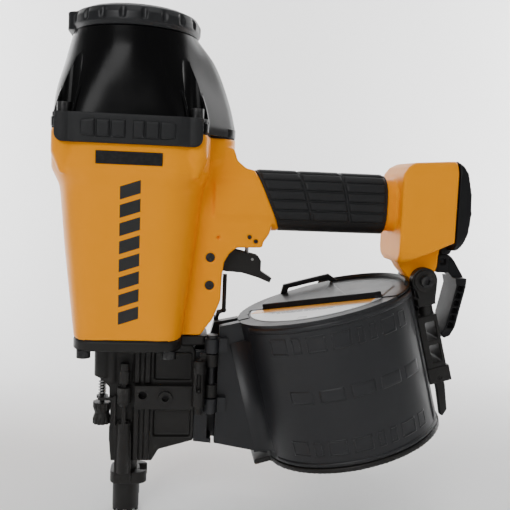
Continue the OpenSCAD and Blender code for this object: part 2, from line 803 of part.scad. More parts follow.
// Raised plate that closes the fixed part of the top
module canister_top_plate() color("gray") in_canister() translate([0, 0, can_h + 0.02]) {
  linear_extrude(2) difference() {
    circle(can_r);
    lid_plan(gap);
  }
  difference() {
    translate([0, 0, 1.9]) linear_extrude(plate_h - 1.9) difference() {
      intersection() {
        translate([3, -3]) circle(54);
        rotate([0, 0, chord_turn]) translate([0, chord_v + 100]) rounded_rect(112, 198, 6);
      }
      lip_side(gap);
    }
    // recesses at the rear
    translate([30, 4, plate_h - 2.5]) linear_extrude(5) rounded_rect(26, 40, 5);
    rotate([0, 0, chord_turn]) translate([37, chord_v + 12, plate_h - 2.5]) linear_extrude(5)
      rounded_rect(24, 8, 2);
  }
}

module top_plate_handle() color("black") in_canister() translate([-2, 41, can_h + plate_h + 0.04])
  slab(-2.2, 2.2) polygon([[-26, 0], [-20, 0], [-18.5, 3.5], [16, 3.5], [19, 0], [25, 0], [18.5, 7.5],
    [-22, 7.5]]);

module door_hinge_pin() color("silver") translate([hinge_x, hinge_y, 0]) {
  post(hinge_r - run, 84, 146);
  post(hinge_r + 1.5, 144.2, 147);
}

module door_shell() color("dimgray") {
  in_canister() translate([0, 0, 0.3]) linear_extrude(can_h - door_drop - 0.3) difference() {
    intersection() {
      drum_ring();
      door_side();
    }
    translate([-100, -neck_half]) square([60, 2 * neck_half]);
  }
  neck_side(-neck_half - 0.02, -track_half, NECK_DOOR);
  for (z = [[86, 97], [133, 144]]) difference() {
    union() {
      translate([hinge_x, hinge_y, 0]) post(hinge_r + 2.6, z[0], z[1]);
      translate([hinge_x, hinge_y, z[0]]) cube([12, 6.4, z[1] - z[0]]);
    }
    translate([hinge_x, hinge_y, 0]) post(hinge_r, 80, 150);
  }
}

module door_lid() color("gray") in_canister() translate([0, 0, can_h - door_drop + 0.02])
  linear_extrude(2.2) lid_plan();

module lid_label() color("gold") in_canister() translate([0, 0, can_h - door_drop + 2.24])
  linear_extrude(0.4) intersection() {
    circle(59.5);
    lip_side(-1);
  }

module nail_platform() color("gray") in_canister() difference() {
  union() {
    post(60, 14, 17);
    post(13, 10, 30);
  }
  post(9.1, 5, 40);
  for (a = [0:45:315]) rotate([0, 0, a]) translate([38, 0, 0]) post(7, 10, 20);
}

module platform_post() color("gray") in_canister() {
  post(9, -base_t - 2, 92);
  post(11.5, 5.5, 9.6);
}

// ---------- rear bracket and latch ----------

module support_bracket() color("dimgray") in_canister() difference() {
  union() {
    for (s = [-1, 1]) {
      cross_pin(eye_cx, eye_cz, 10.5, s > 0 ? 11.2 : -19, s > 0 ? 19 : -11.2);
      slab(s > 0 ? 11.2 : -19, s > 0 ? 19 : -11.2) polygon([[73, 92], [85.5, 92], [90, 106], [71.5, 106]]);
    }
    translate([71, -19, 90]) cube([14.5, 38, 7]);
    translate([78.5, -12, 0]) post(5.6, 80, 92);
    translate([78.5, 12, 0]) post(5.6, 80, 92);
    translate([can_r - 4, -19, 39]) cube([18, 38, 43]);
  }
  cross_pin(eye_cx, eye_cz, 4.1, -30, 30);
  // two windows right through the ladder
  translate([can_r + 3, -30, 61.5]) cube([8.2, 60, 15.2]);
  translate([can_r + 3, -30, 43]) cube([8.2, 60, 14.6]);
  post(can_r + 0.05, -10, can_h + 4.1);
}

module bracket_bolt() color("dimgray") translate([eye_x, 0, eye_z]) rotate([90, 0, 0]) {
  translate([0, 0, 20.7]) socket_screw(4, 48, 4.8, 4.6);
  translate([0, 0, -27.5]) difference() {
    cylinder(r = 7, h = 6, $fn = 6);
    translate([0, 0, -1]) cylinder(r = 4.05, h = 10);
  }
}

module bracket_washers() color("gray") for (y = [[-20.6, -19.1], [19.1, 20.6]])
  difference() {
    cross_pin(eye_x, eye_z, 8.6, y[0], y[1]);
    cross_pin(eye_x, eye_z, 4.2, -30, 30);
  }

module latch_keeper() color("dimgray") in_canister() difference() {
  translate([can_r - 4, -19, 26]) cube([20, 12, 12.9]);
  translate([can_r + 1.5, -15, 25]) cube([20, 5, 9.4]);
  cross_pin(latch_x, latch_z, 1.5, -30, 0);
  post(can_r + 0.1, 0, 60);
}

module latch_lever() color("dimgray") in_canister() {
  slab(-14.8, -10.2) polygon([[can_r + 3, 30], [can_r + 10, 30], [can_r + 11, 22], [can_r + 8.5, 1],
    [can_r + 4, -3.5], [can_r + 2, -2], [can_r + 3.4, 20]]);
  cross_pin(latch_x, latch_z, 3.8, -14.8, -10.2);
  cross_pin(latch_x, latch_z, 1.45, -18.8, -7.2);
}

// ---------- what each node draws ----------

housing();
cylinder_cap();
cap_gasket();
cap_screws();
side_guards();
nameplates();
cylinder_sleeve();
sleeve_o_rings();
piston_bumper();
base_gasket();
nose_body();
nose_screws();
feed_bar();
feed_cylinder();
feed_cylinder_plug();
plunger_tube();
trigger_valve_body();
housing_pins();
grip_sleeve();
end_cap();
end_cap_gasket();
end_cap_screws();
hook_bracket();
canister_frame();
canister_base();
canister_top_plate();
top_plate_handle();
door_hinge_pin();
support_bracket();
bracket_bolt();
bracket_washers();
latch_keeper();
exhaust_deflector();
deflector_screw();
piston();
driver_blade();
piston_ring();
head_valve();
head_valve_spring();
trigger();
trip_lever();
trip_lever_pin();
valve_stem();
contact_foot();
contact_arm();
depth_sleeve();
contact_rod();
depth_dial();
contact_spring();
feed_piston();
feed_pawl();
feed_spring();
door_shell();
door_lid();
lid_label();
latch_lever();
nail_platform();
platform_post();
rafter_hook();
door_plunger();
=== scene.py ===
"""Looks of the coil nailer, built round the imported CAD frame.

Everything is in metres in the row frame: +Z up the drive axis, +X to the rear of the handle,
and the canister door on the -Y side. Tables in millimetres say so.
"""

import json
import math

import bmesh
import bpy
from mathutils import Matrix, Vector

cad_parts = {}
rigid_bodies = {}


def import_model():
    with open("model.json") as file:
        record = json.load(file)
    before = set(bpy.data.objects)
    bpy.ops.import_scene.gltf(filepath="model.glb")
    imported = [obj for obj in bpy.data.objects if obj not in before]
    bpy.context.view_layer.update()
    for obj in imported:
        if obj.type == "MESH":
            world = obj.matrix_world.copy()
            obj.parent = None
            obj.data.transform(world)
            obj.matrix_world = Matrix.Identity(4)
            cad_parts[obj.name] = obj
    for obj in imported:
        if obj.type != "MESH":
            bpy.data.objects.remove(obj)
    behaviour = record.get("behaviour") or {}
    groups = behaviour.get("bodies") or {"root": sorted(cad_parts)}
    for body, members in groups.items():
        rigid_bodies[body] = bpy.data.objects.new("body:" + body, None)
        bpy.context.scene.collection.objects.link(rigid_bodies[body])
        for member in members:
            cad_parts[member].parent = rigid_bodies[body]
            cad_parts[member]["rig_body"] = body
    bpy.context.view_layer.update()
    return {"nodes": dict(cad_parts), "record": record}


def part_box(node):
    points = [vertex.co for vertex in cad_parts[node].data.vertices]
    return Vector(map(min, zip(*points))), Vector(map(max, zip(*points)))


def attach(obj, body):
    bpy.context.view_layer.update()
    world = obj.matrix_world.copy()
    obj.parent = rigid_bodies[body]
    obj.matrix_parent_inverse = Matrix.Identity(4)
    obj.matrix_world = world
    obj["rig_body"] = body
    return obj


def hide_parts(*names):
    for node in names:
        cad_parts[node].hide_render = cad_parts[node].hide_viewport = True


MM = 0.001

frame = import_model()
CAD_NODES = frame["nodes"]
SLOTS = {entry["node"]: entry["material_slot"] for entry in frame["record"]["subparts"]}


# ---------- places ----------

def low(node):
    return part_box(node)[0]


def high(node):
    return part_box(node)[1]


# heights on the drive axis
BASE_Z = low("housing").z
SHOULDER_Z = 281 * MM
SEAM_Z = high("housing").z
DOME_TOP = low("exhaust_deflector").z

# the head's plan at the seam: a rounded rectangle, four screw lugs and a round lobe at the rear
HEAD_HALF_L = 57.5 * MM
HEAD_HALF_W = 56 * MM
HEAD_R = 30 * MM
LUG_X = 46 * MM
LUG_Y = 46 * MM
LUG_R = 9 * MM
LOBE_X = 55 * MM
LOBE_R = 22.5 * MM
CORNERS = [(sx, sy) for sx in (-1, 1) for sy in (-1, 1)]

# the grip's section
GRIP_Z = (low("grip_sleeve").z + high("grip_sleeve").z) / 2
GRIP_H = high("grip_sleeve").z - low("grip_sleeve").z
GRIP_W = high("grip_sleeve").y - low("grip_sleeve").y
GRIP_R = 16.5 * MM

# the canister's frame: its axis leans forwards, and its x axis points to its rear
TILT = math.radians(15)
CAN_AXIS = Vector((-math.sin(TILT), 0, math.cos(TILT)))
CAN_X = Vector((math.cos(TILT), 0, math.sin(TILT)))
CAN_BASE = Vector((182 * MM, 0, 66 * MM))
CAN_R = 70.5 * MM
CAN_H = 110 * MM
NECK_HALF = 13 * MM

# the straight lip between the lid and the top plate, in the canister's plan
LIP_TURN = math.radians(-35.5)
LIP_V = 16.8                 # its distance from the canister's axis, in mm


# ---------- materials ----------

class Nodes:
    """Short names for building a node tree."""

    def __init__(self, name):
        self.mat = bpy.data.materials.new(name)
        self.mat.use_nodes = True
        self.tree = self.mat.node_tree
        self.tree.nodes.clear()
        self.bsdf = self.add("ShaderNodeBsdfPrincipled")
        self.add("ShaderNodeOutputMaterial", {"Surface": self.bsdf.outputs["BSDF"]})
        self.coord = self.add("ShaderNodeTexCoord").outputs["Object"]

    def add(self, kind, inputs=None, **settings):
        node = self.tree.nodes.new(kind)
        for key, value in settings.items():
            setattr(node, key, value)
        self.fill(node, inputs or {})
        return node

    def fill(self, node, inputs):
        """Links or sets each input, by its name or its number."""
        for key, value in inputs.items():
            if isinstance(value, bpy.types.NodeSocket):
                self.tree.links.new(value, node.inputs[key])
            else:
                node.inputs[key].default_value = value

    def noise(self, scale, detail, stretch=None):
        source = self.coord
        if stretch:
            source = self.add("ShaderNodeMapping", {"Vector": source, "Scale": stretch}).outputs["Vector"]
        inputs = {"Vector": source, "Scale": scale, "Detail": detail}
        return self.add("ShaderNodeTexNoise", inputs).outputs["Fac"]

    def mask(self, fac, black, white):
        """Black up to one level of fac and white from another."""
        node = self.add("ShaderNodeValToRGB", {"Fac": fac})
        for element, position, level in zip(node.color_ramp.elements, (black, white), (0, 1)):
            element.position = position
            element.color = (level, level, level, 1)
        return node.outputs["Color"]

    def mix(self, fac, a, b):
        return self.add("ShaderNodeMix", {0: fac, 6: a, 7: b}, data_type="RGBA").outputs[2]

    def product(self, a, b):
        return self.add("ShaderNodeMath", {0: a, 1: b}, operation="MULTIPLY").outputs[0]

    def span(self, fac, lo, hi):
        inputs = {"Value": fac, "To Min": lo, "To Max": hi}
        return self.add("ShaderNodeMapRange", inputs).outputs["Result"]

    def bump(self, edge, *layers):
        """Stacks each (height, strength, distance) on corners that are rounded by the edge radius."""
        normal = self.add("ShaderNodeBevel", {"Radius": edge}, samples=6).outputs["Normal"]
        for height, strength, distance in layers:
            inputs = {"Height": height, "Strength": strength, "Distance": distance, "Normal": normal}
            normal = self.add("ShaderNodeBump", inputs).outputs["Normal"]
        return normal

    def worn_edges(self):
        """A mask of the outer edges, broken up by scuffs."""
        pointiness = self.add("ShaderNodeNewGeometry").outputs["Pointiness"]
        scuffs = self.mask(self.noise(420, 8), 0.40, 0.66)
        return self.mix(self.mask(pointiness, 0.56, 0.66), (0, 0, 0, 1), scuffs)


def finish(name, colour, rough, metal=0.0, specular=0.5, gleam=(1, 1, 1), coat=0.0, patch=0.12,
           grain=900, grain_depth=0.12, stretch=None, edge=0.35 * MM, worn=None, worn_amount=0.5):
    """A surface with grain, uneven gloss, slight colour drift and worn edges.

    gleam tints the reflections, patch is how much darker the colour drifts, grain is the scale of
    the fine bumps and stretch draws them out, and worn is the colour that shows at the edges.
    """
    n = Nodes(name)
    drifted = tuple(c * (1 - patch) for c in colour)
    tint = n.mix(n.noise(38, 6), (*colour, 1), (*drifted, 1))
    if worn:
        tint = n.mix(n.product(n.worn_edges(), worn_amount), tint, (*worn, 1))
    fine = (n.noise(grain, 3, stretch), grain_depth, 0.25 * MM)
    waves = (n.noise(60, 2), 0.04, 1.5 * MM)
    n.fill(n.bsdf, {
        "Base Color": tint,
        "Roughness": n.span(n.noise(70, 5), rough - 0.06, rough + 0.09),
        "Metallic": metal,
        "Specular IOR Level": specular,
        "Specular Tint": (*gleam, 1),
        "Coat Weight": coat,
        "Coat Roughness": 0.08,
        "Normal": n.bump(edge, fine, waves),
    })
    return n.mat


LOOKS = {
    "yellow_paint": dict(colour=(0.98, 0.335, 0.0), rough=0.36, specular=0.4, gleam=(1, 0.5, 0.05),
                         patch=0.05, grain=700, grain_depth=0.08, worn=(0.55, 0.30, 0.06),
                         worn_amount=0.10),
    "gloss_black": dict(colour=(0.0025, 0.0025, 0.0028), rough=0.22, specular=0.12, patch=0.2,
                        grain=500, grain_depth=0.02, worn=(0.03, 0.03, 0.033), worn_amount=0.2),
    "black_rubber": dict(colour=(0.008, 0.0085, 0.0095), rough=0.55, specular=0.35, grain=1600,
                         grain_depth=0.25, worn=(0.035, 0.035, 0.037), worn_amount=0.3),
    "black_trim": dict(colour=(0.009, 0.009, 0.010), rough=0.42, specular=0.18, grain=1500,
                       grain_depth=0.18, worn=(0.035, 0.035, 0.037), worn_amount=0.3),
    "gasket": dict(colour=(0.010, 0.010, 0.010), rough=0.7, specular=0.3, grain=1500),
    "deflector": dict(colour=(0.009, 0.0095, 0.011), rough=0.40, specular=0.35, grain=1300,
                      worn=(0.04, 0.04, 0.043), worn_amount=0.3),
    "dark_steel": dict(colour=(0.016, 0.015, 0.014), rough=0.42, metal=0.3, specular=0.4, patch=0.3,
                       grain=1100, grain_depth=0.18, worn=(0.07, 0.065, 0.06), worn_amount=0.35),
    "black_screws": dict(colour=(0.022, 0.022, 0.023), rough=0.34, metal=0.6, grain=1500,
                         worn=(0.16, 0.155, 0.15), worn_amount=0.4),
    "bright_steel": dict(colour=(0.42, 0.41, 0.4), rough=0.3, metal=1.0, grain_depth=0.15,
                         stretch=(1, 1, 0.05)),
    "spring_steel": dict(colour=(0.30, 0.30, 0.30), rough=0.28, metal=1.0, grain=1200),
    "aluminium": dict(colour=(0.62, 0.63, 0.65), rough=0.35, metal=1.0, stretch=(0.05, 1, 1)),
    "urethane": dict(colour=(0.5, 0.25, 0.03), rough=0.45, grain=800),
    "valve_plastic": dict(colour=(0.6, 0.6, 0.55), rough=0.45),
    "dark_plastic": dict(colour=(0.011, 0.0115, 0.0135), rough=0.40, specular=0.42, grain=1500),
    "grey_plastic": dict(colour=(0.009, 0.009, 0.0098), rough=0.32, specular=0.15, grain=1500,
                         grain_depth=0.1, worn=(0.05, 0.05, 0.05), worn_amount=0.3),
    "label": dict(colour=(0.66, 0.69, 0.71), rough=0.28, coat=0.4, grain=700, grain_depth=0.03,
                  edge=0.1 * MM),
    "label_yellow": dict(colour=(0.85, 0.36, 0.02), rough=0.28, coat=0.4, grain=700,
                         grain_depth=0.03, edge=0.1 * MM),
    "label_grey": dict(colour=(0.22, 0.23, 0.25), rough=0.35, grain=700, grain_depth=0.03,
                       edge=0.1 * MM),
    "decal_black": dict(colour=(0.006, 0.006, 0.006), rough=0.4, grain=1200, grain_depth=0.05,
                        edge=0.05 * MM, worn=(0.04, 0.03, 0.02), worn_amount=0.15),
}
MATERIALS = {name: finish(name, **look) for name, look in LOOKS.items()}

for node_name, slot_name in SLOTS.items():
    node_mesh = CAD_NODES[node_name].data
    node_mesh.materials.clear()
    node_mesh.materials.append(MATERIALS[slot_name])


# ---------- building pieces ----------

def new_object(name, mesh, slot, body="frame", material=None, smooth=True):
    obj = bpy.data.objects.new(name, mesh)
    bpy.context.scene.collection.objects.link(obj)
    mesh.materials.clear()
    mesh.materials.append(MATERIALS[material or slot])
    if smooth:
        for polygon in mesh.polygons:
            polygon.use_smooth = True
    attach(obj, body)
    return obj


def mesh_from(name, points, faces):
    mesh = bpy.data.meshes.new(name)
    mesh.from_pydata([tuple(p) for p in points], [], faces)
    mesh.update()
    bm = bmesh.new()
    bm.from_mesh(mesh)
    bmesh.ops.remove_doubles(bm, verts=bm.verts, dist=1e-6)
    bmesh.ops.recalc_face_normals(bm, faces=bm.faces)
    bm.to_mesh(mesh)
    bm.free()
    return mesh


def join(meshes, name):
    bm = bmesh.new()
    for mesh in meshes:
        bm.from_mesh(mesh)
    out = bpy.data.meshes.new(name)
    bm.to_mesh(out)
    bm.free()
    return out


def evaluated(mesh, name, *modifiers):
    """The mesh with modifiers applied. Each modifier is (kind, {setting: value})."""
    temp = bpy.data.objects.new("temp_" + name, mesh)
    bpy.context.scene.collection.objects.link(temp)
    for kind, settings in modifiers:
        modifier = temp.modifiers.new(kind, kind)
        for key, value in settings.items():
            setattr(modifier, key, value)
    graph = bpy.context.evaluated_depsgraph_get()
    out = bpy.data.meshes.new_from_object(temp.evaluated_get(graph))
    out.name = name
    bpy.data.objects.remove(temp)
    return out


def cut(mesh, cutter, name):
    """The mesh less the cutter."""
    tool = bpy.data.objects.new("tool_" + name, cutter)
    bpy.context.scene.collection.objects.link(tool)
    out = evaluated(mesh, name, ("BOOLEAN", dict(operation="DIFFERENCE", object=tool, solver="EXACT")))
    bpy.data.objects.remove(tool)
    return out


def cast(node, voxel, smooth, keep, extra=(), minus=None):
    """Replaces a CAD node by a copy whose edges are rounded as a casting or moulding has them.

    smooth counts the smoothing rounds, keep is the share of the faces that is kept, extra skins
    are joined to the copy, and minus is cut from it.
    """
    source = join([CAD_NODES[node].data, *extra], node + "_source")
    if minus:
        source = cut(source, minus, node + "_cut")
    mesh = evaluated(
        source, node + "_look",
        ("REMESH", dict(mode="VOXEL", voxel_size=voxel, use_smooth_shade=True)),
        ("SMOOTH", dict(factor=0.5, iterations=smooth)),
        ("DECIMATE", dict(ratio=keep)),
    )
    obj = new_object(node + "_look", mesh, SLOTS[node], CAD_NODES[node]["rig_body"])
    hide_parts(node)
    return obj


# ---------- outlines ----------

def rect_hit(angle, a, b, r):
    """Distance from the centre to a rounded rectangle's edge."""
    c, s = abs(math.cos(angle)), abs(math.sin(angle))
    if c > 1e-9 and a * s / c <= b - r:
        return a / c
    if s > 1e-9 and b * c / s <= a - r:
        return b / s
    along = c * (a - r) + s * (b - r)
    return along + math.sqrt(max(along**2 - (a - r) ** 2 - (b - r) ** 2 + r * r, 0))


def circle_hit(angle, x, y, r):
    """Distance from the centre to the far side of a circle, or 0."""
    along = x * math.cos(angle) + y * math.sin(angle)
    inside = along**2 - x * x - y * y + r * r
    return along + math.sqrt(inside) if inside > 0 and along > 0 else 0.0


def head_radius(angle, grow=0.0):
    """The head's plan at the seam, with its screw lugs and rear lobe."""
    reach = rect_hit(angle, HEAD_HALF_L + grow, HEAD_HALF_W + grow, HEAD_R + grow)
    for sx, sy in CORNERS:
        reach = max(reach, circle_hit(angle, sx * LUG_X, sy * LUG_Y, LUG_R + grow))
    return max(reach, circle_hit(angle, LOBE_X, 0.0, LOBE_R + grow))


def half_hull(run):
    """One side of the convex hull of points that are in order."""
    out = []
    for p in run:
        while len(out) > 1:
            (x0, y0), (x1, y1) = out[-2:]
            if (x1 - x0) * (p[1] - y0) - (y1 - y0) * (p[0] - x0) > 0:
                break
            out.pop()
        out.append(p)
    return out[:-1]


def hull_radius(angles, points):
    """Distances from the centre to the convex hull of the points."""
    points = sorted(set(points))
    ring = half_hull(points) + half_hull(points[::-1])
    reach = []
    for angle in angles:
        c, s = math.cos(angle), math.sin(angle)
        best = 0.0
        for (x0, y0), (x1, y1) in zip(ring, ring[1:] + ring[:1]):
            dx, dy = x1 - x0, y1 - y0
            det = dx * s - dy * c
            if abs(det) < 1e-12:
                continue
            t = (dx * y0 - dy * x0) / det
            u = (c * y0 - s * x0) / det
            if t > 0 and -1e-9 <= u <= 1 + 1e-9:
                best = max(best, t)
        reach.append(best)
    return reach


def loft(rings, name):
    """A closed skin through rings that all have the same number of points."""
    count = len(rings[0])
    points = [p for ring in rings for p in ring]
    faces = []
    for k in range(len(rings) - 1):
        for i in range(count):
            j = (i + 1) % count
            faces.append((k * count + i, k * count + j, (k + 1) * count + j, (k + 1) * count + i))
    faces.append(tuple(range(count))[::-1])
    faces.append(tuple(range((len(rings) - 1) * count, len(rings) * count)))
    return mesh_from(name, points, faces)


def polar_ring(radii, z, angles):
    return [Vector((r * math.cos(a), r * math.sin(a), z)) for r, a in zip(radii, angles)]


def cylinder_mesh(start, end, radius, count=48):
    axis = (end - start).normalized()
    side = axis.orthogonal().normalized()
    other = axis.cross(side)
    turn = [2 * math.pi * i / count for i in range(count)]
    rings = [[p + radius * (math.cos(t) * side + math.sin(t) * other) for t in turn] for p in (start, end)]
    return loft(rings, "cylinder")


def box_mesh(lo, hi, matrix):
    xs, ys, zs = zip(lo, hi)
    corners = [matrix @ Vector((x, y, z)) for x in xs for y in ys for z in zs]
    faces = [(0, 1, 3, 2), (4, 6, 7, 5), (0, 4, 5, 1), (2, 3, 7, 6), (0, 2, 6, 4), (1, 5, 7, 3)]
    return mesh_from("box", corners, faces)


def catmull(keys, t):
    """A smooth value at t through (position, value) keys."""
    for i in range(len(keys) - 1):
        if t <= keys[i + 1][0] or i == len(keys) - 2:
            break
    p1, p2 = keys[i], keys[i + 1]
    p0 = keys[i - 1] if i else p1
    p3 = keys[i + 2] if i + 2 < len(keys) else p2
    h = p2[0] - p1[0]
    m1 = (p2[1] - p0[1]) / ((p2[0] - p0[0]) or 1) * h
    m2 = (p3[1] - p1[1]) / ((p3[0] - p1[0]) or 1) * h
    u = (t - p1[0]) / h
    return ((2 * u**3 - 3 * u**2 + 1) * p1[1] + (u**3 - 2 * u**2 + u) * m1
            + (3 * u**2 - 2 * u**3) * p2[1] + (u**3 - u**2) * m2)


def plate_on(surface, u_range, v_range, height, name, steps, rounded=True, root=0.4 * MM):
    """A closed pad on a surface, where surface(u, v) gives a point and a normal.

    The pad rises to its height, with rounded edges or upright ones, and its root is sunk.
    """
    nu, nv = steps
    tops, roots = [], []
    for i in range(nu + 1):
        for j in range(nv + 1):
            fu, fv = i / nu, j / nv
            v = v_range[0] + (v_range[1] - v_range[0]) * fv
            u = u_range[0] + (u_range[1] - u_range[0]) * fu
            point, normal = surface(u, v)
            rise = height
            if rounded:
                # the outer step and a half of each side curves down
                rim = min(min(fu, 1 - fu) * nu / 1.5, min(fv, 1 - fv) * nv / 1.5, 1.0)
                rise *= math.sqrt(max(1 - (1 - rim) ** 2, 0))
            tops.append(point + normal * rise)
            roots.append(point - normal * root)
    total = len(tops)

    def at(i, j):
        return i * (nv + 1) + j

    faces = []
    for i in range(nu):
        for j in range(nv):
            quad = (at(i, j), at(i + 1, j), at(i + 1, j + 1), at(i, j + 1))
            faces.append(quad)
            faces.append(tuple(q + total for q in quad[::-1]))
    rim_path = ([at(i, 0) for i in range(nu)] + [at(nu, j) for j in range(nv)]
                + [at(i, nv) for i in range(nu, 0, -1)] + [at(0, j) for j in range(nv, 0, -1)])
    for a, b in zip(rim_path, rim_path[1:] + rim_path[:1]):
        faces.append((a, b, b + total, a + total))
    return mesh_from(name, tops + roots, faces)


# ---------- housing ----------

ANGLES = [2 * math.pi * i / 144 for i in range(144)]

# the barrel's plan at each key height: half length, half width and corner radius, in mm
BARREL = [(BASE_Z, 40, 42, 18), (212 * MM, 48, 48, 28), (257 * MM, 52.3, 51.3, 33.4),
          (270 * MM, 57.4, 55.9, 30), (SHOULDER_Z, 57.4, 55.9, 30)]
SKIN = 0.1                   # how far the skin stands outside the CAD's facets, in mm
BORE_R = 34.7 * MM


def barrel_ring(z):
    """The barrel's plan at a height."""
    for low_key, high_key in zip(BARREL, BARREL[1:]):
        if z <= high_key[0] + 1e-9:
            break
    t = (z - low_key[0]) / (high_key[0] - low_key[0])
    a, b, r = ((low_key[i] + (high_key[i] - low_key[i]) * t + SKIN) * MM for i in (1, 2, 3))
    return polar_ring([rect_hit(angle, a, b, r) for angle in ANGLES], z, ANGLES)


def foot_corner(sx, sy):
    """An upright round corner at the foot of the barrel, which fades into its taper."""
    foot = Vector((sx * 23 * MM, sy * 25.5 * MM, BASE_Z + 0.1 * MM))
    tip = Vector((sx * 25.5 * MM, sy * 28 * MM, 204 * MM))
    return cylinder_mesh(foot, tip, 16.4 * MM, count=64)


def build_housing():
    heights = [BASE_Z + 0.05 * MM + (SHOULDER_Z - BASE_Z) * i / 24 for i in range(25)]
    barrel = loft([barrel_ring(z) for z in heights], "barrel")
    skins = [barrel] + [foot_corner(sx, sy) for sx, sy in CORNERS]
    bore = cylinder_mesh(Vector((0, 0, BASE_Z - 0.01)), Vector((0, 0, SEAM_Z)), BORE_R, count=96)
    bored = [cut(skin, bore, "skin") for skin in skins]
    return cast("housing", 1.1 * MM, 7, 0.45, extra=bored)


def build_graphic(housing):
    """Plain slanted bars up the barrel, on the side that faces the door."""
    bars, pitch, height = 8, 13.0 * MM, 9.204 * MM
    bottom, x_mid, half, slant = BASE_Z + 14.5 * MM, 1.0 * MM, 7.2 * MM, 5 * MM
    graph = bpy.context.evaluated_depsgraph_get()

    def surface(u, v):
        start = Vector((u, -0.2, v + (u - x_mid) / half * slant / 2))
        hit, point, _, _ = housing.ray_cast(start, Vector((0, 1, 0)), depsgraph=graph)
        if not hit:
            raise RuntimeError("the graphic misses the barrel")
        return point, Vector((0, -1, 0))

    parts = []
    for i in range(bars):
        lo = bottom + i * pitch
        parts.append(plate_on(surface, (x_mid - half, x_mid + half), (lo, lo + height), 0.12 * MM,
                              "bar", (12, 8), rounded=False, root=0.3 * MM))
    new_object("barrel_graphic", join(parts, "barrel_graphic"), "black_trim",
               material="decal_black", smooth=False)


# ---------- cap ----------

LIP_TOP = SEAM_Z + 8 * MM
FIN_SWING = 0.165            # radians between a screw pocket's middle and its fins


def hull_around(*shapes):
    """The dome's plan round rounded rectangles (a, b, r) and circles (x, r) on the x axis, in mm."""
    points = []
    for shape in shapes:
        for k in range(96):
            t = 2 * math.pi * k / 96
            if len(shape) == 3:
                r = rect_hit(t, *(d * MM for d in shape))
                points.append((r * math.cos(t), r * math.sin(t)))
            else:
                x, r = shape
                points.append(((x + r * math.cos(t)) * MM, r * math.sin(t) * MM))
    return hull_radius(ANGLES, points)


def dome_keys():
    """The dome's plan at each key height."""
    return [
        (SEAM_Z + 1 * MM, hull_around((57.2, 55.8, 30), (55, 22.3))),
        (LIP_TOP, hull_around((57.2, 55.8, 31), (55, 22.0))),
        (SEAM_Z + 29 * MM, hull_around((56.2, 53.8, 40), (53, 18.4))),
        (SEAM_Z + 56 * MM, hull_around((0, 51), (40, 20))),
        (DOME_TOP - 0.6 * MM, hull_around((0, 46.5))),
    ]


def dome_skin(keys):
    z0, z1 = keys[0][0], keys[-1][0]
    rings = []
    for k in range(41):
        z = z0 + (z1 - z0) * k / 40
        radii = [catmull([(key[0], key[1][i]) for key in keys], z) for i in range(len(ANGLES))]
        rings.append(polar_ring(radii, z, ANGLES))
    rings.append(polar_ring([r - 1.2 * MM for r in keys[-1][1]], z1 + 0.5 * MM, ANGLES))
    return loft(rings, "dome")


def pocket_cutters(sx, sy):
    """The room above a cap screw: a well, a slot outwards and an arch that leans into the dome."""
    well_r, arch_r, depth = 8.4 * MM, 8.35 * MM, 90 * MM
    centre = Vector((sx * LUG_X, sy * LUG_Y, LIP_TOP + 0.05 * MM))
    turn = Matrix.Translation(centre) @ Matrix.Rotation(math.atan2(sy, sx), 4, "Z")
    lean = turn @ Matrix.Rotation(math.radians(-6), 4, "Y")
    return (
        cylinder_mesh(centre, centre + Vector((0, 0, depth)), well_r),
        box_mesh((0, -8.3 * MM, 0), (30 * MM, 8.3 * MM, depth), turn),
        cylinder_mesh(lean @ Vector((0, 0, 0.2 * MM)), lean @ Vector((0, 0, depth)), arch_r),
    )


def radius_at(radii, angle):
    """The radius at any angle, between those of ANGLES."""
    step = 2 * math.pi / len(radii)
    t = (angle / step) % len(radii)
    i = int(t)
    return radii[i] + (radii[(i + 1) % len(radii)] - radii[i]) * (t - i)


def cap_fin(keys, pocket_angle, side):
    """A thin rib beside a screw pocket, fading out up the dome."""
    out = Vector((math.cos(pocket_angle), math.sin(pocket_angle), 0))
    across = Vector((-out.y, out.x, 0)) * side
    rings = []
    for k in range(13):
        z = LIP_TOP + 3.6 * k * MM
        fade = 1 - (k / 12) ** 2
        reach = catmull([(key[0], radius_at(key[1], pocket_angle + side * FIN_SWING)) for key in keys], z)
        near = Vector((0, 0, z)) + out * (reach - 7 * MM) + across * 9.6 * MM
        section = ((0, -1.1), (8.6 * fade - 0.5, -1.1), (9.2 * fade - 0.5, -0.4),
                   (8.6 * fade - 0.5, 1.1), (0, 1.3))
        rings.append([near + out * dr * MM + across * dw * MM for dr, dw in section])
    return loft(rings, "fin")


def build_cap():
    keys = dome_keys()
    dome = dome_skin(keys)
    for sx, sy in CORNERS:
        for cutter in pocket_cutters(sx, sy):
            dome = cut(dome, cutter, "dome_cut")
    fins = [cap_fin(keys, math.atan2(sy, sx), side) for sx, sy in CORNERS for side in (-1, 1)]
    angles = [2 * math.pi * i / 360 for i in range(360)]
    lip_steps = ((1, -0.4), (1.5, 0), (7.3, 0), (8, -0.7))   # height and growth, in mm
    lip = loft([polar_ring([head_radius(a, grow * MM) for a in angles], SEAM_Z + z * MM, angles)
                for z, grow in lip_steps], "lip")
    obj = new_object("cap_look", join([dome, lip, *fins], "cap_look"), "gloss_black")
    obj.data.set_sharp_from_angle(angle=math.radians(38))
    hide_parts("cylinder_cap")


